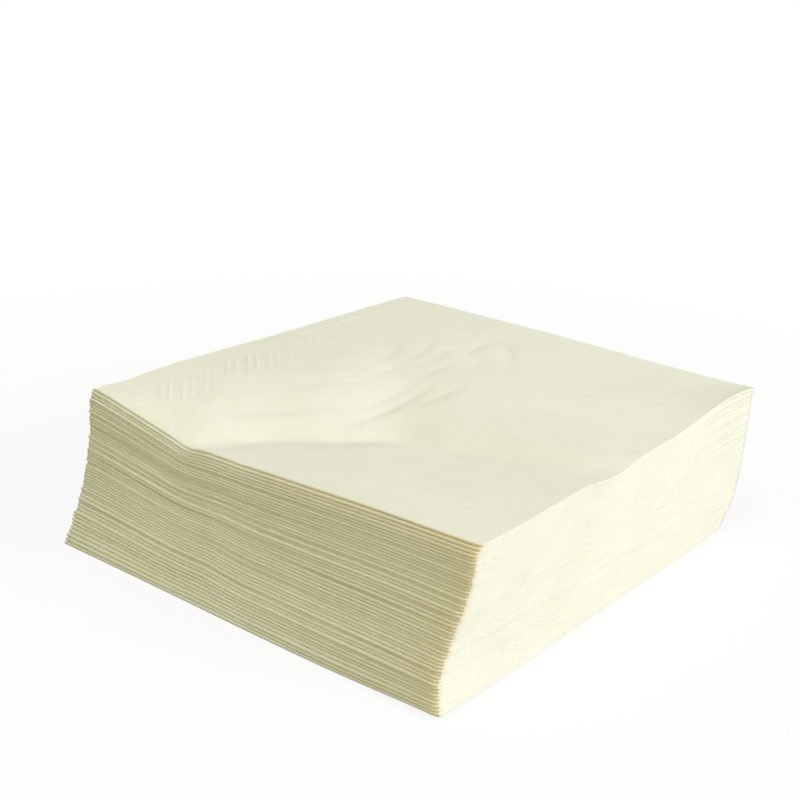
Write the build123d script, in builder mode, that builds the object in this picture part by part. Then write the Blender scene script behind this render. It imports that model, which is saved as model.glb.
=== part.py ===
from build123d import *
from math import cos, radians, sin
import os

# A neat but slumped stack of square tissue napkins, each a sheet folded twice into a quarter.
# Lengths are in millimetres, +Z is up, and the origin is the middle of the lowest napkin's underside.
# The corners are named as they lie on the table: front (-X -Y), left (-X +Y), back (+X +Y), right (+X -Y).
# Every napkin has its second fold on the side from front to left (-X), its first fold on the side from
# front to right (-Y), and its open cut edges on the other two sides.

# One napkin
SIDE = 165.0            # side of the folded napkin, half of the flat sheet's side
PAPER = 0.18            # thickness of the tissue, its two plies together
LAYER_AIR = 0.04        # air between two layers of one napkin
LAYERS = 4              # a sheet folded twice
LIP_FACETS = 4          # flat facets that stand for the half round of a fold

# The stack
NAPKINS = 50
LEAN = 15.0             # how far the top has slid along +X from the lowest napkin
LEAN_POWER = 1.5        # the lower napkins have slid most
SWAY = 1.0              # how far the top has slid along -Y
TWIST = 1.9             # largest turn of a napkin in degrees, a third of the way up

# A soft crease runs over the front corner, from the left-hand side to the right-hand side. Behind it the
# napkins rise to a ridge that starts at the left corner. These are distances from the front corner.
CREASE_LEFT = 116.5     # along the side to the left corner
CREASE_RIGHT = 72.5     # along the side to the right corner
RIDGE_RIGHT = 100.5     # along the side to the right corner

# Air under each napkin at the corners, the crease and the ridge: least where the pile is pressed down.
AIR_FRONT = 0.18
AIR_LEFT = 0.25
AIR_BACK = 0.195
AIR_RIGHT = 0.20
AIR_CREASE_LEFT = 0.095
AIR_CREASE_RIGHT = 0.13
AIR_RIDGE_RIGHT = 0.185

THICKNESS = LAYERS * PAPER + (LAYERS - 1) * LAYER_AIR
LAYER_PITCH = PAPER + LAYER_AIR
PAIR_RADIUS = PAPER + LAYER_AIR / 2
HALF = SIDE / 2
UP = (0, 0, 1)

# Where the panels of a creased napkin meet, and the air under the napkin there
MARKS = {
    "front": (-HALF, -HALF, AIR_FRONT),
    "left": (-HALF, HALF, AIR_LEFT),
    "back": (HALF, HALF, AIR_BACK),
    "right": (HALF, -HALF, AIR_RIGHT),
    "crease_left": (-HALF, CREASE_LEFT - HALF, AIR_CREASE_LEFT),
    "crease_right": (CREASE_RIGHT - HALF, -HALF, AIR_CREASE_RIGHT),
    "ridge_right": (RIDGE_RIGHT - HALF, -HALF, AIR_RIDGE_RIGHT),
}

# The flat panels between the creases, each anticlockwise as seen from above
PANELS = [
    ("front", "crease_right", "crease_left"),
    ("crease_right", "ridge_right", "crease_left"),
    ("ridge_right", "left", "crease_left"),
    ("ridge_right", "back", "left"),
    ("ridge_right", "right", "back"),
]
SECOND_FOLD = ["front", "crease_left", "left"]
FIRST_FOLD = ["front", "crease_right", "ridge_right", "right"]


def half_round(middle, radius):
    # Corners of a half round that swells outwards from a fold line, as distance outwards and height.
    turns = [radians(-90 + 180 * step / LIP_FACETS) for step in range(LIP_FACETS + 1)]
    return [(radius * cos(turn), middle + radius * sin(turn)) for turn in turns]


def flat_panel(corners):
    # One panel's outline on the slanting plane through its corners.
    first, second, third = corners
    along = second - first
    slope = Plane(origin=first, x_dir=along, z_dir=along.cross(third - first))
    on_slope = [slope.to_local_coords(corner) for corner in corners]
    with BuildSketch(slope) as outline:
        Polygon(*[(point.X, point.Y) for point in on_slope], align=None)
    return outline.sketch.face()


def lip(corners, start, outwards, facing):
    # A lip's section on an upright plane across the fold line.
    with BuildSketch(Plane(origin=start, x_dir=outwards, z_dir=facing)) as section:
        Polygon(*corners, align=None)
    return section.sketch.face()


os.makedirs("parts", exist_ok=True)
for number in range(NAPKINS):
    level = number / (NAPKINS - 1)
    under = {name: Vector(x, y, number * (THICKNESS + air)) for name, (x, y, air) in MARKS.items()}

    with BuildPart() as napkin:
        # The four layers, each a sheet of even thickness over the same creases
        for layer in range(LAYERS):
            lift = Vector(0, 0, layer * LAYER_PITCH)
            panels = [flat_panel([under[name] + lift for name in panel]) for panel in PANELS]
            extrude(panels, amount=PAPER, dir=UP)

        # Second fold: the outer layers turn round the inner two in one rounded lip.
        outer_turn = half_round(THICKNESS / 2, THICKNESS / 2)
        inside_turn = half_round(THICKNESS / 2, THICKNESS / 2 - PAPER)
        inner_turn = half_round(THICKNESS / 2, PAIR_RADIUS)
        for start, end in zip(SECOND_FOLD, SECOND_FOLD[1:]):
            run = under[end] - under[start]
            outer = lip(outer_turn + inside_turn[::-1], under[start], (-1, 0, 0), (0, 1, 0))
            inner = lip(inner_turn, under[start], (-1, 0, 0), (0, 1, 0))
            extrude([outer, inner], amount=run.length, dir=run)

        # First fold: two rounded lips, one for the upper pair of layers and one for the lower pair.
        lower_turn = half_round(PAIR_RADIUS, PAIR_RADIUS)
        upper_turn = half_round(THICKNESS - PAIR_RADIUS, PAIR_RADIUS)
        for start, end in zip(FIRST_FOLD, FIRST_FOLD[1:]):
            run = under[end] - under[start]
            lower = lip(lower_turn, under[start], (0, -1, 0), (-1, 0, 0))
            upper = lip(upper_turn, under[start], (0, -1, 0), (-1, 0, 0))
            extrude([lower, upper], amount=run.length, dir=run)

        # The closed corner, where the first fold is itself turned round by the second
        corner = lip(outer_turn, under["front"], (-1, 0, 0), (0, 1, 0))
        extrude(corner, amount=PAPER, dir=(0, -1, 0))

    # Each napkin lies where the slump has carried it.
    slid = 1 - (1 - level) ** LEAN_POWER
    turn = -TWIST * sin(radians(180) * (1 - level) ** 2)
    napkin.part.location = Location((LEAN * slid, -SWAY * level, 0), (0, 0, turn))
    name = f"napkin_{number + 1:02d}"
    napkin.part.label = name
    export_step(napkin.part, f"parts/{name}.step")
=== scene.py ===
import math

import bmesh
import bpy
import mathutils
import numpy as np
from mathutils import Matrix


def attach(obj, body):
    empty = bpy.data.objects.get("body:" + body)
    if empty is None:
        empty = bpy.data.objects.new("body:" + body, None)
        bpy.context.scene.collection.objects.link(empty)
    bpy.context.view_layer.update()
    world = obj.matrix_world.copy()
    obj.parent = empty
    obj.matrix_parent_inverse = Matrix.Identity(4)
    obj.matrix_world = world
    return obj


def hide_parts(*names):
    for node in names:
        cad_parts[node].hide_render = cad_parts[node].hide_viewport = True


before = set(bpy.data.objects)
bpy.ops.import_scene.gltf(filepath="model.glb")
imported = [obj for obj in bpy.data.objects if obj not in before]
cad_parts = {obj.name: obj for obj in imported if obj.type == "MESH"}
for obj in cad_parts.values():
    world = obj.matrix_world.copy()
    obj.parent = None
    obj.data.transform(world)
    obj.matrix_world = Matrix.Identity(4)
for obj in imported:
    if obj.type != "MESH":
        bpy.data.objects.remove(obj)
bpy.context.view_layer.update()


# The napkins
# Fifty square sheets of cream two-ply tissue, each folded across and then across again. The second fold is
# one round lip on the left-hand side, the first fold two lips on the right-hand side, and the cut edges are
# behind. They lie loose on each other, and handling has slid, turned and dented the pile.

MILLIMETRE = 0.001
NAPKINS = 50
LAYERS = 4
SIDE = 165.0
HALF = SIDE / 2
PAPER = 0.18
LAYER_AIR = 0.04
THICKNESS = LAYERS * PAPER + (LAYERS - 1) * LAYER_AIR
FOLD_RADIUS = (PAPER + LAYER_AIR) / 2
PAIR_HEIGHT = 2 * FOLD_RADIUS

# Creped tissue: matte, a little cloudy with fibre, with fine short furrows, and tan along the second fold,
# partly a painted glow of light through the paper
TISSUE_PALE = (0.930, 0.928, 0.790, 1.0)
TISSUE_DEEP = (0.905, 0.902, 0.760, 1.0)
FOLD_TAN_AND_GLOW = (0.930, 0.680, 0.330, 1.0)
FURROWS_PER_METRE = (260.0, 1500.0, 900.0)
FURROW_DEPTH = 0.00012

tissue = bpy.data.materials.new("tissue")
tissue.use_nodes = True
nodes = tissue.node_tree.nodes
links = tissue.node_tree.links
paper = nodes["Principled BSDF"]
paper.inputs["Roughness"].default_value = 0.95
paper.inputs["Specular IOR Level"].default_value = 0.15

place = nodes.new("ShaderNodeTexCoord")
clouds = nodes.new("ShaderNodeTexNoise")
clouds.inputs["Scale"].default_value = 90.0
clouds.inputs["Detail"].default_value = 5.0
clouds.inputs["Roughness"].default_value = 0.6
links.new(place.outputs["Object"], clouds.inputs["Vector"])
tint = nodes.new("ShaderNodeValToRGB")
tint.color_ramp.elements[0].position = 0.30
tint.color_ramp.elements[0].color = TISSUE_DEEP
tint.color_ramp.elements[1].position = 0.62
tint.color_ramp.elements[1].color = TISSUE_PALE
links.new(clouds.outputs["Fac"], tint.inputs["Fac"])

# The fold colour is a tan that is partly painted light: at the front corner and along the topmost lips it is
# painted glow of light shining through the paper.
tan_and_painted_glow = nodes.new("ShaderNodeAttribute")
tan_and_painted_glow.attribute_name = "tan_and_painted_glow"
tan_and_glow_mixed = nodes.new("ShaderNodeMix")
tan_and_glow_mixed.data_type = "RGBA"
tan_and_glow_mixed.inputs["B"].default_value = FOLD_TAN_AND_GLOW
links.new(tan_and_painted_glow.outputs["Fac"], tan_and_glow_mixed.inputs["Factor"])
links.new(tint.outputs["Color"], tan_and_glow_mixed.inputs["A"])
links.new(tan_and_glow_mixed.outputs["Result"], paper.inputs["Base Color"])

stretch = nodes.new("ShaderNodeMapping")
stretch.inputs["Scale"].default_value = FURROWS_PER_METRE
links.new(place.outputs["Object"], stretch.inputs["Vector"])
crepe = nodes.new("ShaderNodeTexNoise")
crepe.inputs["Scale"].default_value = 1.0
crepe.inputs["Detail"].default_value = 3.0
links.new(stretch.outputs["Vector"], crepe.inputs["Vector"])
furrows = nodes.new("ShaderNodeBump")
furrows.inputs["Strength"].default_value = 0.30
furrows.inputs["Distance"].default_value = FURROW_DEPTH
links.new(crepe.outputs["Fac"], furrows.inputs["Height"])
links.new(furrows.outputs["Normal"], paper.inputs["Normal"])

# The dent: a crease over the front corner, from the left-hand side to the right-hand one. The bow is how far
# it bends back between its ends, by the share of its length. The rises are the pile's height by the distance
# behind the crease: at its start, inside the pile, further along inside and at its end.
CREASE_START = np.array([-HALF, 34.0])
CREASE_END = np.array([-10.0, -HALF])
CREASE_BOW = [
    (0.0, 0.0), (0.07, 4.5), (0.12, 8.0), (0.19, 11.4), (0.23, 11.8), (0.29, 13.4), (0.37, 15.0),
    (0.41, 17.2), (0.45, 18.4), (0.49, 17.6), (0.55, 13.6), (0.60, 11.0), (0.68, 9.0), (0.73, 7.4),
    (0.84, 2.8), (0.95, 0.2), (1.0, 0.0),
]
RISE_AT_START = [
    (-130, 50.3), (-67, 49.3), (-53, 48.9), (-36, 47.8), (-24, 47.2), (-17, 46.7), (-10, 46.8), (-4.5, 46.6),
    (0.8, 45.4), (5.3, 47.7), (14, 50.9), (24, 54.4), (45, 54.4), (58, 54.2), (83, 53.6), (240, 51.0),
]
RISE_INSIDE = [
    (-130, 49.8), (-67, 49.4), (-53, 48.9), (-36, 47.8), (-24, 47.2), (-12, 46.9), (-4.5, 46.5), (0.8, 45.3),
    (13, 49.3), (30, 52.5), (45, 54.0), (58, 54.2), (70, 53.9), (83, 53.6), (96, 53.0), (109, 52.6),
    (134, 52.2), (160, 51.6), (240, 51.2),
]
RISE_BEYOND = [
    (-130, 49.8), (-67, 49.4), (-40, 48.7), (-20, 47.7), (-10, 47.4), (-6, 47.1), (1, 44.9), (7, 46.7),
    (20, 49.2), (45, 52.4), (60, 53.4), (83, 53.3), (109, 52.6), (134, 52.2), (160, 51.6), (240, 51.2),
]
RISE_AT_END = [
    (-130, 50.8), (-62, 50.4), (-18, 50.5), (-3, 48.1), (3, 48.1), (11, 50.0), (31, 50.2), (46, 51.5),
    (57, 52.1), (65, 52.2), (72, 51.9), (80, 51.5), (100, 51.8), (122, 52.2), (146, 52.1), (240, 52.0),
]
RISES = [RISE_AT_START, RISE_INSIDE, RISE_BEYOND, RISE_AT_END]
BEYOND_FROM = 0.22
BEYOND_TO = 0.44
END_FROM = 0.45
SIDE_BOW = 9.0
SIDE_REACH = 14.0

# How far corners of these lines are rounded off: sharp for the top napkins, round for those deeper down, and
# plain for the pile as a whole
SHARP_SOFTNESS = (1.0, 1.3, 1.5, 2.8)
ROUND_SOFTNESS = 5.0
PLAIN_SOFTNESS = 12.0
BOW_SOFTNESS = 0.03
LINE_POINTS = 741
TAIL = 4


def softened(points, softness):
    # A line through a few points, with its corners rounded off by a bell of weights that is cut at its tails.
    steps = np.linspace(points[0][0], points[-1][0], LINE_POINTS)
    heights = np.interp(steps, *zip(*points))
    step = steps[1] - steps[0]
    edge = int(TAIL * softness / step)
    reach = np.arange(-edge, edge + 1) * step
    weights = np.exp(-0.5 * (reach / softness) ** 2)
    padded = np.pad(heights, edge, mode="reflect", reflect_type="odd")
    return steps, np.convolve(padded, weights / weights.sum(), mode="valid")


sharp_profiles = [softened(rise, softness) for rise, softness in zip(RISES, SHARP_SOFTNESS)]
round_profiles = [softened(rise, ROUND_SOFTNESS) for rise in RISES]
plain_profiles = [softened(rise, PLAIN_SOFTNESS) for rise in RISES]
bow_profile = softened(CREASE_BOW, BOW_SOFTNESS)


def eased(first, last, share):
    # Goes from one value to the other with level ends, as the share goes from nothing to one.
    share = np.clip(share, 0, 1)
    return first + share * share * (3 - 2 * share) * (last - first)


def across_crease(x, y, profiles):
    # Height of the whole pile over a point of a napkin.
    run = CREASE_END - CREASE_START
    length = np.hypot(*run)
    along = ((x - CREASE_START[0]) * run[0] + (y - CREASE_START[1]) * run[1]) / length ** 2
    behind = ((x - CREASE_START[0]) * -run[1] + (y - CREASE_START[1]) * run[0]) / length
    along = np.clip(along, 0, 1)
    side_share = np.exp(-(np.maximum(x + HALF, 0) / SIDE_REACH) ** 2)
    side_bow = SIDE_BOW * 4 * along * (1 - along)
    bow = side_share * side_bow + (1 - side_share) * np.interp(along, *bow_profile)
    start, inside, beyond, end = (np.interp(behind - bow, *profile) for profile in profiles)
    inside = eased(inside, beyond, (along - BEYOND_FROM) / (BEYOND_TO - BEYOND_FROM))
    inside = eased(inside, end, (along - END_FROM) / (1 - END_FROM))
    beside = eased(start, end, along)
    return side_share * beside + (1 - side_share) * inside


# Waves that run through the pile and change a little from one napkin to the next. They are smaller by the
# table and by the top.
WAVES = 7
WAVE_SEED = 11
WAVE_SHORTEST = 38
WAVE_LONGEST = 105
WAVE_DRIFT = 0.30
WAVE_STEEPNESS = 0.0016
FULL_WAVES_AT = 9
TOP_CALM = 0.8
draw = np.random.default_rng(WAVE_SEED)
wave_angle = draw.uniform(0, math.pi, WAVES)
wave_length = draw.uniform(WAVE_SHORTEST, WAVE_LONGEST, WAVES)
wave_start = draw.uniform(0, 2 * math.pi, WAVES)
wave_drift = draw.uniform(-WAVE_DRIFT, WAVE_DRIFT, WAVES)
wave_size = WAVE_STEEPNESS * wave_length


def pile_wave(x, y, number):
    # How far the waves lift a napkin off its level.
    total = np.zeros_like(x)
    for angle, length, start, drift, size in zip(wave_angle, wave_length, wave_start, wave_drift, wave_size):
        across = x * math.cos(angle) + y * math.sin(angle)
        total += size * np.sin(2 * math.pi * across / length + start + drift * number)
    return total * min(1.0, number / FULL_WAVES_AT) * (1 - TOP_CALM * (number / NAPKINS) ** 3)


# Low in the pile: a small rise and hollow along the left-hand side, most a third of the way up, and a front
# corner that curls off the table
RIPPLE_HEIGHT = 0.45
RIPPLE_RISE_AT = 15.0
RIPPLE_HOLLOW_AT = 0.0
RIPPLE_WIDTH = 8.0
RIPPLE_REACH = 35.0
CURL_HEIGHT = 1.5
CURL_REACH = 28.0


def low_shape(x, y, level):
    # The ripple's share is one at its most.
    share = 27 / 4 * level * (1 - level) ** 2
    rise = np.exp(-((y - RIPPLE_RISE_AT) / RIPPLE_WIDTH) ** 2)
    hollow = np.exp(-((y - RIPPLE_HOLLOW_AT) / RIPPLE_WIDTH) ** 2)
    ripple = RIPPLE_HEIGHT * share * (rise - hollow) * np.exp(-(x + HALF) / RIPPLE_REACH)
    from_corner = np.hypot(x + HALF, y + HALF)
    curl = CURL_HEIGHT * (1 - level) ** 3 * np.exp(-(from_corner / CURL_REACH) ** 2)
    return ripple + curl


# Wrinkles of the top napkin, which die away in the ones under it: start, end, bow, width and depth. The front
# slope and the slow rise behind are so many widths long, and a share of the depth is in the steep slope.
WRINKLES = [
    ((-40.0, 9.2), (4.0, 5.2), -2.1, 1.1, 0.62),
    ((-13.0, 1.2), (11.0, -4.6), -1.0, 1.0, 0.42),
    ((-64.5, 40.2), (-40.0, 20.4), 2.6, 1.0, 0.40),
    ((-42.0, 24.0), (-31.0, 18.6), 0.0, 0.9, 0.24),
    ((-28.0, 25.4), (-21.5, 21.0), 0.0, 0.8, 0.24),
    ((-31.0, 12.2), (1.0, 10.2), -0.4, 0.9, 0.28),
    ((2.0, 12.6), (26.0, 10.8), 0.2, 1.0, 0.32),
    ((24.0, 4.8), (38.5, 5.5), 0.0, 1.1, 0.30),
    ((-29.0, 36.0), (-8.0, 21.8), 0.0, 0.8, 0.26),
    ((-8.0, 24.0), (16.0, 23.0), 1.0, 0.9, 0.24),
    ((14.0, 26.6), (42.0, 34.6), -2.0, 1.0, 0.32),
    ((3.0, 30.4), (29.0, 40.0), -0.6, 1.0, 0.30),
    ((14.0, 20.0), (38.0, 22.2), -0.8, 0.9, 0.26),
    ((19.0, 41.5), (34.0, 44.4), 0.4, 1.0, 0.24),
    ((35.0, 14.2), (59.0, 17.2), 1.4, 1.2, 0.46),
    ((38.0, -3.0), (57.5, 14.0), -2.6, 1.2, 0.34),
]
WRINKLE_FADE = 4.0
WRINKLE_FRONT = 2.3
WRINKLE_BACK = 6.0
WRINKLE_STEEP_SHARE = 0.45


def wrinkles(x, y):
    # Shallow valleys with a long slope in front, a short steep one behind and a slow rise after it.
    total = np.zeros_like(x)
    for start, end, bow, width, depth in WRINKLES:
        run = np.subtract(end, start)
        length = np.hypot(*run)
        along = ((x - start[0]) * run[0] + (y - start[1]) * run[1]) / length ** 2
        aside = ((x - start[0]) * -run[1] + (y - start[1]) * run[0]) / length
        inside = np.clip(4 * along * (1 - along), 0, 1)
        aside = aside - bow * inside
        front = np.exp(-(aside / (WRINKLE_FRONT * width)) ** 2)
        steep = np.exp(-(aside / width) ** 2)
        slow = np.exp(-(aside / (WRINKLE_BACK * width)) ** 2)
        back = WRINKLE_STEEP_SHARE * steep + (1 - WRINKLE_STEEP_SHARE) * slow
        total -= depth * np.sqrt(inside) * np.where(aside < 0, front, back)
    return total


# The front edge of the upper napkins rises near the right-hand corner.
HUMP_AT = 64.0
HUMP_REACH = 20.0
HUMP_DEPTH = 7.0
HUMP_RISE = 1.4


def level_of(number):
    # Where the middle of a napkin is, as a share of the pile's height.
    return (number + 0.5) / NAPKINS


def top_share(number, fade):
    # One for the top napkin, and dying away in the ones under it.
    return math.exp((number - NAPKINS + 1) / fade)


def pile_height(x, y, number):
    # Height of the middle of a napkin over the table. The dent goes deeper into the pile than its lift alone
    # would carry it, and is sharp only near the top.
    level = level_of(number)
    plain = across_crease(x, y, plain_profiles)
    dent = across_crease(x, y, round_profiles)
    kink = across_crease(x, y, sharp_profiles)
    height = level * plain + (1 - (1 - level) ** 2) * (dent - plain) + level ** 4 * (kink - dent)
    height = height + pile_wave(x, y, number) + low_shape(x, y, level)
    from_first = np.maximum(y + HALF, 0)
    hump = np.exp(-((x - HUMP_AT) / HUMP_REACH) ** 2 - from_first / HUMP_DEPTH)
    height = height + HUMP_RISE * level ** 3 * hump
    return height + wrinkles(x, y) * top_share(number, WRINKLE_FADE)


# The lips lie pressed on each other, so they are squarer than round folds: one would be round.
LIP_SQUARENESS = 0.55


def folded(across, down, face):
    # Folds the flat sheet: from distances to its two fold lines to a place in the folded napkin.
    # face is the distance of the paper's surface from its middle.
    bend = np.clip(down / FOLD_RADIUS, -math.pi / 2, math.pi / 2)
    beyond = np.maximum(np.abs(down) - FOLD_RADIUS * math.pi / 2, 0)
    y = -HALF + beyond - (FOLD_RADIUS + face) * np.cos(bend) ** LIP_SQUARENESS
    reach = PAIR_HEIGHT - (FOLD_RADIUS + face) * np.sin(bend)
    reach_middle = PAIR_HEIGHT - FOLD_RADIUS * np.sin(bend)
    turn = np.clip(across / reach_middle, -math.pi / 2, math.pi / 2)
    beyond = np.maximum(np.abs(across) - reach_middle * math.pi / 2, 0)
    x = -HALF + beyond - reach * np.cos(turn) ** LIP_SQUARENESS
    return x, y, -reach * np.sin(turn)


# Uneven fold lines and cut edges. A wobble has a size, a shortest wave and a longest one.
WOBBLE_WAVES = 4
WOBBLE_TURN = 6.28
SECOND_WOBBLE = (0.20, 60, 220)
FIRST_WOBBLE = (0.05, 30, 120)
CUT_WOBBLE = (0.08, 15, 60)
CUT_SHIFT = 40
SECOND_SPREAD = 0.16
FIRST_SPREAD = 0.04
EDGE_REACH = 14.0


def wobble(along, source, size, shortest, longest):
    # An uneven line: a sum of a few waves, drawn afresh for each edge.
    total = np.zeros_like(along)
    for _ in range(WOBBLE_WAVES):
        length = source.uniform(shortest, longest)
        height = size * source.uniform(0.3, 1.0)
        total += height * np.sin(2 * math.pi * along / length + source.uniform(0, WOBBLE_TURN))
    return total / math.sqrt(WOBBLE_WAVES)


# Napkins that were put down together stand out or back together.
BAND = 4
BAND_SEED = 5
BAND_SPREAD = 0.14
bands = np.repeat(np.random.default_rng(BAND_SEED).normal(0, BAND_SPREAD, NAPKINS // BAND + 1), BAND)

# The closed corner is pressed and rounded, and its fold line is straighter.
CORNER_RADIUS = 1.5
CORNER_PRESSING = 0.6
CORNER_REACH = 2.0
CORNER_CALM = 0.7
CORNER_CALM_REACH = 6.0


def rounded_off(inset, other):
    # How far a place near the corner moves in, from how far it is past the start of the rounding both ways.
    share = np.minimum(other / CORNER_RADIUS, 1)
    return inset * (1 - np.sqrt(1 - share ** 2 / 2))


# The second fold has a faint tan all along, and more tan low on the left. It is most at the front corner and
# under the topmost lips, where it is a painted warm glow of light through the paper.
FOLD_TAN_ALL = 0.04
TAN_GLOW_DEPTH = 0.5
TOP_LIP_GLOW = 0.80
TOP_LIP_GLOW_FADE = 2.5
TOP_LIP_GLOW_FROM = 36.0
TOP_LIP_GLOW_RUN = 50.0
LIP_MIDDLE = 0.50
CORNER_GLOW = 0.32
CORNER_GLOW_REACH = 11.0
LOW_TAN = 0.13
LOW_TAN_LEVEL = 0.14
LOW_TAN_HEIGHT = 0.10
LOW_TAN_AT = 60.0
LOW_TAN_REACH = 22.0


def fold_tan_and_glow(y, off, from_second, from_first, number):
    # How much fold tan and painted glow each place has, from nothing to one.
    under_lip = np.clip(LIP_MIDDLE - off / THICKNESS, 0, 1)
    to_front = np.clip((TOP_LIP_GLOW_FROM - y) / TOP_LIP_GLOW_RUN, 0, 1)
    top_lip_glow = top_share(number, TOP_LIP_GLOW_FADE) * to_front * under_lip
    corner_glow = np.exp(-from_first / CORNER_GLOW_REACH)
    low = math.exp(-((level_of(number) - LOW_TAN_LEVEL) / LOW_TAN_HEIGHT) ** 2)
    low_left_tan = low * np.exp(-((y - LOW_TAN_AT) / LOW_TAN_REACH) ** 2)
    # A faint tan all along, painted glow of light through the paper under the topmost lips and at the front
    # corner, and tan low on the left
    tan_glow_share = FOLD_TAN_ALL + TOP_LIP_GLOW * top_lip_glow + CORNER_GLOW * corner_glow + LOW_TAN * low_left_tan
    return np.exp(-from_second / TAN_GLOW_DEPTH) * np.minimum(tan_glow_share, 1)


# The slump: the pile leans to the right and turns, and the topmost napkins have slid a little further, with
# their back edges askew.
LEAN = 13.0
LEAN_POWER = 2.3
TOP_SLIDE = 2.0
TOP_SLIDE_FADE = 2.4
SWAY = 1.0
TWIST = math.radians(1.9)
BACK_SKEW = 2.6
BACK_SKEW_FADE = 6.0

# How napkins differ: the slip between their layers, the fullness of their folds, and their place and turn
FIRST_SEED = 1000
LAYER_SLIP = 0.12
FULLER_SECOND = (0.04, 0.18)
FULLER_FIRST = (0.10, 0.16)
FULLER_REACH = 5.0
PLACE_SPREAD = 0.05
TURN_SPREAD = 0.0008
OFF_TABLE = 0.02


def napkin_surface(across_lines, down_lines, face, number):
    # One surface of a napkin's paper: a grid of places in millimetres, and how much fold tan and painted glow
    # each place has.
    source = np.random.default_rng(FIRST_SEED + number)
    across, down = np.meshgrid(across_lines, down_lines, indexing="ij")
    slip_across, slip_down = source.normal(0, LAYER_SLIP, 2)
    across = across + slip_across * (np.abs(across) > HALF)
    down = down + slip_down * (np.abs(down) > HALF)
    x, y, off = folded(across, down, face)
    from_second = np.maximum(x + HALF, 0)
    from_first = np.maximum(y + HALF, 0)
    x = x - np.minimum(x + HALF, 0) * CORNER_PRESSING * np.exp(-from_first / CORNER_REACH)
    z = pile_height(x, y, number)

    # The folds stand a little fuller than the flat of the napkin.
    fuller_second = source.uniform(*FULLER_SECOND) * np.exp(-from_second / FULLER_REACH)
    fuller_first = source.uniform(*FULLER_FIRST) * np.exp(-from_first / FULLER_REACH)
    z = z + off * (1 + fuller_second + fuller_first)

    # The two pairs of layers have cut edges of their own.
    second_line = bands[number] + source.normal(0, SECOND_SPREAD) + wobble(y, source, *SECOND_WOBBLE)
    first_line = source.normal(0, FIRST_SPREAD) + wobble(x, source, *FIRST_WOBBLE)
    right_edge = wobble(y + CUT_SHIFT * np.sign(off), source, *CUT_WOBBLE)
    back_edge = wobble(x + CUT_SHIFT * np.sign(off), source, *CUT_WOBBLE)
    second_line = second_line * (1 - CORNER_CALM * np.exp(-from_first / CORNER_CALM_REACH))
    x = x + second_line * np.exp(-from_second / EDGE_REACH) + right_edge * np.exp((x - HALF) / EDGE_REACH)
    y = y + first_line * np.exp(-from_first / EDGE_REACH) + back_edge * np.exp((y - HALF) / EDGE_REACH)
    inset_x = np.maximum(CORNER_RADIUS - HALF - x, 0)
    inset_y = np.maximum(CORNER_RADIUS - HALF - y, 0)
    x = x + rounded_off(inset_x, inset_y)
    y = y + rounded_off(inset_y, inset_x)

    # Where handling and the slump have carried the napkin
    x = x + source.normal(0, PLACE_SPREAD)
    y = y + source.normal(0, PLACE_SPREAD)
    skew = BACK_SKEW * top_share(number, BACK_SKEW_FADE)
    y = y - skew * (x + HALF) * (y + HALF) / SIDE ** 2
    share = 1 - number / (NAPKINS - 1)
    turn = -TWIST * math.sin(math.pi * share ** 2) + source.normal(0, TURN_SPREAD)
    slide = LEAN * (1 - share ** LEAN_POWER) + TOP_SLIDE * top_share(number, TOP_SLIDE_FADE)
    placed_x = x * math.cos(turn) - y * math.sin(turn) + slide
    placed_y = x * math.sin(turn) + y * math.cos(turn) - SWAY * (1 - share)
    places = np.stack([placed_x, placed_y, np.maximum(z, OFF_TABLE)], axis=-1)
    return places, fold_tan_and_glow(y, off, from_second, from_first, number)


def napkin_mesh(name, across_lines, down_lines, number):
    # The closed skin of one napkin's paper: an outer surface, an inner surface and the four cut edges.
    outer, outer_tan_glow = napkin_surface(across_lines, down_lines, PAPER / 2, number)
    inner, inner_tan_glow = napkin_surface(across_lines, down_lines, -PAPER / 2, number)
    rows, columns = outer_tan_glow.shape
    index = np.arange(rows * columns).reshape(rows, columns)
    corners = [index[:-1, :-1], index[1:, :-1], index[1:, 1:], index[:-1, 1:]]
    upper = np.stack(corners, axis=-1).reshape(-1, 4)
    lower = upper[:, ::-1] + rows * columns
    rim = np.concatenate([index[0, :-1], index[:-1, -1], index[-1, :0:-1], index[:0:-1, 0]])
    following = np.roll(rim, -1)
    edges = np.stack([following, rim, rim + rows * columns, following + rows * columns], axis=-1)
    mesh = bpy.data.meshes.new(name)
    places = np.concatenate([outer.reshape(-1, 3), inner.reshape(-1, 3)]) * MILLIMETRE
    mesh.from_pydata(places.tolist(), [], np.concatenate([upper, lower, edges]).tolist())
    mesh.polygons.foreach_set("use_smooth", [True] * (2 * len(upper)) + [False] * len(edges))
    # The attribute carries the fold tan and the painted glow of light through the paper.
    tan_glow_share = mesh.attributes.new("tan_and_painted_glow", "FLOAT", "POINT")
    tan_glow_share.data.foreach_set("value", np.concatenate([outer_tan_glow.ravel(), inner_tan_glow.ravel()]))
    mesh.materials.append(tissue)
    return mesh


def lay_napkin(mesh, node):
    # Puts a napkin in its place in the pile, hangs it on the pile's root, and hides the part it stands in
    # for.
    piece = bpy.data.objects.new(node + "_folded", mesh)
    bpy.context.collection.objects.link(piece)
    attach(piece, "root")
    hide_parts(node)
    return piece


def sheet_lines(near_fold, stretches):
    # Where grid lines cross a half sheet: close together at the fold, then with each stretch's own step.
    lines = list(near_fold)
    for end, step in stretches:
        count = max(1, round((end - lines[-1]) / step))
        lines += list(np.linspace(lines[-1], end, count + 1)[1:])
    return np.array(lines)


def both_halves(upper_lines, lower_lines):
    # Grid lines over the whole sheet, for the half that is folded on top and the half under it.
    return np.concatenate([-upper_lines[:0:-1], lower_lines])


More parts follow.
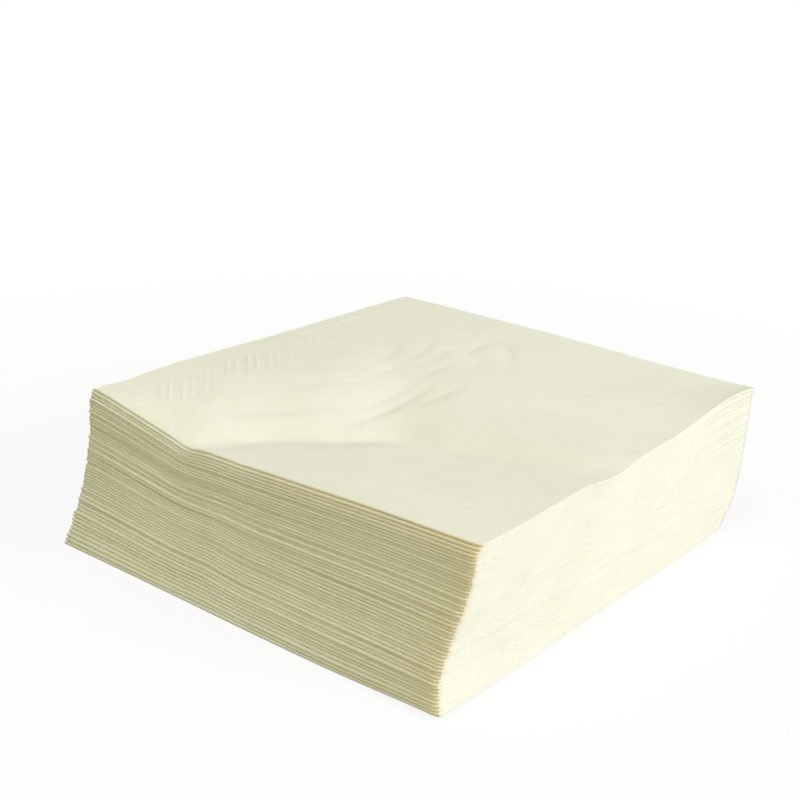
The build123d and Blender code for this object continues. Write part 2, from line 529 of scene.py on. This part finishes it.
# Each stretch of grid lines has an end and a step. The lines are closer over the crease, and the last step is
# short, so that the cut edge doesn't darken the face beside it. The napkins near the top have a finer grid.
AT_SECOND_FOLD = np.concatenate([np.linspace(0, 1.5 * math.pi * FOLD_RADIUS, 6), [1.2, 3.0, 7.0, 13.0]])
AT_FIRST_FOLD = np.concatenate([np.linspace(0, 0.5 * math.pi * FOLD_RADIUS, 5), [0.7, 2.2, 6.0, 12.0]])
CUT_STEP = 1.5
CUT = SIDE - CUT_STEP
NEAR_TOP = 3
coarse_across = sheet_lines(AT_SECOND_FOLD, [(52, 13.0), (97, 7.5), (CUT, 17.0), (SIDE, CUT_STEP)])
coarse_down = sheet_lines(AT_FIRST_FOLD, [(97, 8.5), (138, 3.2), (CUT, 9.0), (SIDE, CUT_STEP)])
near_across = sheet_lines(AT_SECOND_FOLD, [(100, 4.0), (CUT, 9.0), (SIDE, CUT_STEP)])
near_down = sheet_lines(AT_FIRST_FOLD, [(97, 4.0), (138, 2.6), (CUT, 6.0), (SIDE, CUT_STEP)])
coarse_lines = both_halves(coarse_across, coarse_across), both_halves(coarse_down, coarse_down)
near_lines = both_halves(near_across, near_across), both_halves(near_down, near_down)

under = []
for number in range(NAPKINS - 1):
    node = f"napkin_{number + 1:02d}"
    lines = near_lines if number >= NAPKINS - 1 - NEAR_TOP else coarse_lines
    mesh = napkin_mesh(node + "_folded", *lines, number)
    under = [lay_napkin(mesh, node).name]


# The top napkin
# The same sheet with its upper face in view. A border of short slanting strokes is embossed in it along the
# two open sides, with a row of dashes outside them, to hold its plies together.

BORDER_PITCH = 10.4
BORDER_FADE = 14.0
STROKE_GAP = 4.1
STROKES_FROM = 11.5
STROKES_TO = 27.0
STROKES_START = -86.0
STROKES_END = 18.0
STROKE_SLANT = 0.95
STROKE_WIDTH = 0.36
STROKE_BACK = 0.7
STROKE_RISE = 0.14
STROKE_TIP = 1.0
STROKE_MARGIN = 2.0
PRESSED_AT = -67.0
PRESSED_PITCH = 41.0
PRESSED_DEPTH = 0.34
DASH_RISE = 0.22
DASH_WIDTH = 0.8
DASH_FROM_EDGE = 6.0
DASH_HALF = 3.5
DASH_TIP = 1.0
DASH_MARGIN = 3.0
DASHES_START = -20.0
DASHES_END = 72.0
RIGHT_SHARE = 0.35


def fades(value, low, high, width):
    # One between two limits, and nothing outside them, with soft ends.
    return np.clip((value - low) / width, 0, 1) * np.clip((high - value) / width, 0, 1)


def ridge(slanted):
    # A stroke with a steep side and a gentle one.
    aside = np.mod(slanted + BORDER_PITCH / 2, BORDER_PITCH) - BORDER_PITCH / 2
    aside = aside / math.hypot(1, STROKE_SLANT)
    return np.exp(-(aside / np.where(aside > 0, STROKE_WIDTH, STROKE_BACK)) ** 2)


def border(along, inward):
    # Height of the embossing, from the distance along an open side and the distance in from it.
    slanted = along + (inward - STROKES_FROM) * STROKE_SLANT
    uneven = np.cos(2 * math.pi * (along - PRESSED_AT) / PRESSED_PITCH)
    pressed = 1 - PRESSED_DEPTH + PRESSED_DEPTH * uneven
    strokes = (ridge(slanted) + ridge(slanted - STROKE_GAP)) * pressed
    strokes = strokes * fades(inward, STROKES_FROM, STROKES_TO, STROKE_TIP)
    strokes = strokes * fades(along, STROKES_START, STROKES_END, BORDER_FADE)
    beside = np.abs(np.mod(along, BORDER_PITCH) - BORDER_PITCH / 2)
    dashes = np.exp(-((inward - DASH_FROM_EDGE) / DASH_WIDTH) ** 2)
    dashes = dashes * fades(beside, -DASH_TIP, DASH_HALF, DASH_TIP)
    dashes = dashes * fades(along, DASHES_START, DASHES_END, BORDER_FADE)
    return STROKE_RISE * strokes + DASH_RISE * dashes


def band_at(along):
    # How far in from an open side the embossing reaches.
    return STROKES_TO + STROKE_MARGIN if along < STROKES_END else DASH_FROM_EDGE + DASH_MARGIN


def from_open_sides(place):
    # A place on the top napkin: along the back side, along the right-hand side, and in from each of them.
    x = place.x / MILLIMETRE - LEAN - TOP_SLIDE
    y = place.y / MILLIMETRE + SWAY
    from_back = HALF - BACK_SKEW * (x + HALF) / SIDE - y
    return x, y, from_back, HALF - x


# The upper half has a fine grid, and the lines at its folds stay as they are. Its border is cut finer still.
FOLD_LINES = 8
BORDER_CUTS = 2
fine_across = sheet_lines(AT_SECOND_FOLD, [(SIDE, 1.35)])
fine_down = sheet_lines(AT_FIRST_FOLD, [(70, 2.0), (145, 1.35), (SIDE, 1.8)])
plain_down = sheet_lines(AT_FIRST_FOLD, [(SIDE, 1.8)])
fine_lines = both_halves(fine_across, near_across), both_halves(fine_down, plain_down)

top_node = f"napkin_{NAPKINS:02d}"
top_mesh = napkin_mesh(top_node + "_folded", *fine_lines, NAPKINS - 1)
work = bmesh.new()
work.from_mesh(top_mesh)
columns = len(fine_lines[1]) - 1
band_faces = []
for face in work.faces:
    row, column = divmod(face.index, columns)
    if row < len(fine_across) - FOLD_LINES and column < len(fine_down) - FOLD_LINES:
        x, y, from_back, from_right = from_open_sides(face.calc_center_median())
        if from_back < band_at(x) or from_right < band_at(y):
            band_faces.append(face)
band_edges = list(dict.fromkeys(edge for face in band_faces for edge in face.edges))
cut = bmesh.ops.subdivide_edges(work, edges=band_edges, cuts=BORDER_CUTS, use_grid_fill=True)
band_points = {point for face in band_faces if face.is_valid for point in face.verts}
band_points |= {item for item in cut["geom"] if isinstance(item, bmesh.types.BMVert)}
for point in band_points:
    x, y, from_back, from_right = from_open_sides(point.co)
    rise = border(x, from_back) + RIGHT_SHARE * border(y, from_right)
    point.co.z += MILLIMETRE * float(rise)
work.to_mesh(top_mesh)
work.free()
lay_napkin(top_mesh, top_node)


# The floor
# A plain white table top that runs out of the picture and keeps the pile's soft shadow. The light it throws
# back on the pile is warm, as from a pale wooden table.

FLOOR_SIDE = 6.0
FLOOR_WHITE = (0.97, 0.97, 0.97, 1.0)
FLOOR_WARM = (0.56, 0.54, 0.34, 1.0)
SHADE_SHARE = 0.12
SHADE_FROM = 0.13
SHADE_TO = 0.42

floor_mesh = bpy.data.meshes.new("floor")
half_floor = FLOOR_SIDE / 2
floor_corners = [(-half_floor, -half_floor, 0), (half_floor, -half_floor, 0)]
floor_corners += [(half_floor, half_floor, 0), (-half_floor, half_floor, 0)]
floor_mesh.from_pydata(floor_corners, [], [(0, 1, 2, 3)])
floor = bpy.data.objects.new("floor", floor_mesh)
bpy.context.collection.objects.link(floor)


def seen_directly(nodes, links):
    # One for rays from the picture, and for those that only a gloss or a clear body has turned.
    path = nodes.new("ShaderNodeLightPath")
    direct = nodes.new("ShaderNodeMath")
    direct.operation = "MAXIMUM"
    links.new(path.outputs["Is Camera Ray"], direct.inputs[0])
    links.new(path.outputs["Is Glossy Ray"], direct.inputs[1])
    any_view = nodes.new("ShaderNodeMath")
    any_view.operation = "MAXIMUM"
    links.new(direct.outputs["Value"], any_view.inputs[0])
    links.new(path.outputs["Is Transmission Ray"], any_view.inputs[1])
    return any_view.outputs["Value"]


table = bpy.data.materials.new("table_top")
table.use_nodes = True
nodes = table.node_tree.nodes
links = table.node_tree.links
nodes.clear()
shaded = nodes.new("ShaderNodeBsdfDiffuse")
shaded.inputs["Color"].default_value = FLOOR_WHITE
white = nodes.new("ShaderNodeEmission")
white.inputs["Strength"].default_value = 1.0
spot = nodes.new("ShaderNodeTexCoord")
away = nodes.new("ShaderNodeVectorMath")
away.operation = "LENGTH"
links.new(spot.outputs["Object"], away.inputs[0])
fading = nodes.new("ShaderNodeMapRange")
fading.interpolation_type = "SMOOTHSTEP"
fading.inputs["From Min"].default_value = SHADE_FROM
fading.inputs["From Max"].default_value = SHADE_TO
fading.inputs["To Min"].default_value = SHADE_SHARE
fading.inputs["To Max"].default_value = 0.0
links.new(away.outputs["Value"], fading.inputs["Value"])
shown = nodes.new("ShaderNodeMixShader")
links.new(fading.outputs["Result"], shown.inputs["Fac"])
links.new(white.outputs["Emission"], shown.inputs[1])
links.new(shaded.outputs["BSDF"], shown.inputs[2])
warm = nodes.new("ShaderNodeBsdfDiffuse")
warm.inputs["Color"].default_value = FLOOR_WARM
blend = nodes.new("ShaderNodeMixShader")
links.new(seen_directly(nodes, links), blend.inputs["Fac"])
links.new(warm.outputs["BSDF"], blend.inputs[1])
links.new(shown.outputs["Shader"], blend.inputs[2])
surface = nodes.new("ShaderNodeOutputMaterial")
links.new(blend.outputs["Shader"], surface.inputs["Surface"])
floor_mesh.materials.append(table)


# The light
# A large soft lamp low to the right of the pile and in front of it, a larger warm one over it to the left, a
# weak cool one behind it, and an even pale room.

ROOM_LEVEL = 0.14
LAMPS = [
    ("front_lamp", (0.60, -2.00, 1.02), 1.1, 42.5, (1.0, 1.0, 1.11)),
    ("upper_lamp", (-0.95, -0.10, 1.90), 1.2, 19.6, (1.0, 1.0, 0.75)),
    ("back_lamp", (0.90, 1.80, 0.60), 1.1, 6.0, (0.95, 1.0, 1.15)),
]
LAMP_AIM = mathutils.Vector((0.0, 0.0, 0.02))

world = bpy.data.worlds.new("room")
bpy.context.scene.world = world
world.use_nodes = True
nodes = world.node_tree.nodes
links = world.node_tree.links
nodes.clear()
room = nodes.new("ShaderNodeBackground")
room.inputs["Color"].default_value = (1.0, 1.0, 1.0, 1.0)
room.inputs["Strength"].default_value = ROOM_LEVEL
backdrop = nodes.new("ShaderNodeBackground")
backdrop.inputs["Color"].default_value = (1.0, 1.0, 1.0, 1.0)
backdrop.inputs["Strength"].default_value = 1.0
blend = nodes.new("ShaderNodeMixShader")
links.new(seen_directly(nodes, links), blend.inputs["Fac"])
links.new(room.outputs["Background"], blend.inputs[1])
links.new(backdrop.outputs["Background"], blend.inputs[2])
surface = nodes.new("ShaderNodeOutputWorld")
links.new(blend.outputs["Shader"], surface.inputs["Surface"])

for name, place, size, power, colour in LAMPS:
    lamp_data = bpy.data.lights.new(name, "AREA")
    lamp_data.shape = "SQUARE"
    lamp_data.size = size
    lamp_data.energy = power
    lamp_data.color = colour
    lamp = bpy.data.objects.new(name, lamp_data)
    lamp.location = place
    lamp.rotation_euler = (LAMP_AIM - lamp.location).to_track_quat("-Z", "Y").to_euler()
    bpy.context.collection.objects.link(lamp)

bpy.context.scene.view_settings.view_transform = "Standard"


# The camera
# It stands in front of the pile to the left, a little above it, and is tipped by a hair.

CAMERA_TARGET = mathutils.Vector((0.0542, 0.0450, 0.0253))
CAMERA_DISTANCE = 0.5702
CAMERA_AZIMUTH = math.radians(-51.14)
CAMERA_ELEVATION = math.radians(20.98)
CAMERA_ROLL = math.radians(1.68)
CAMERA_LENS = 64.8
SENSOR_WIDTH = 36.0
CLIP_START = 0.01

back = mathutils.Vector((
    math.sin(CAMERA_AZIMUTH) * math.cos(CAMERA_ELEVATION),
    -math.cos(CAMERA_AZIMUTH) * math.cos(CAMERA_ELEVATION),
    math.sin(CAMERA_ELEVATION),
))
camera_data = bpy.data.cameras.new("camera")
camera_data.lens = CAMERA_LENS
camera_data.sensor_width = SENSOR_WIDTH
camera_data.clip_start = CLIP_START
camera = bpy.data.objects.new("camera", camera_data)
camera.location = CAMERA_TARGET + back * CAMERA_DISTANCE
tip = mathutils.Quaternion((0, 0, 1), CAMERA_ROLL)
camera.rotation_euler = (back.to_track_quat("Z", "Y") @ tip).to_euler()
bpy.context.collection.objects.link(camera)
bpy.context.scene.camera = camera
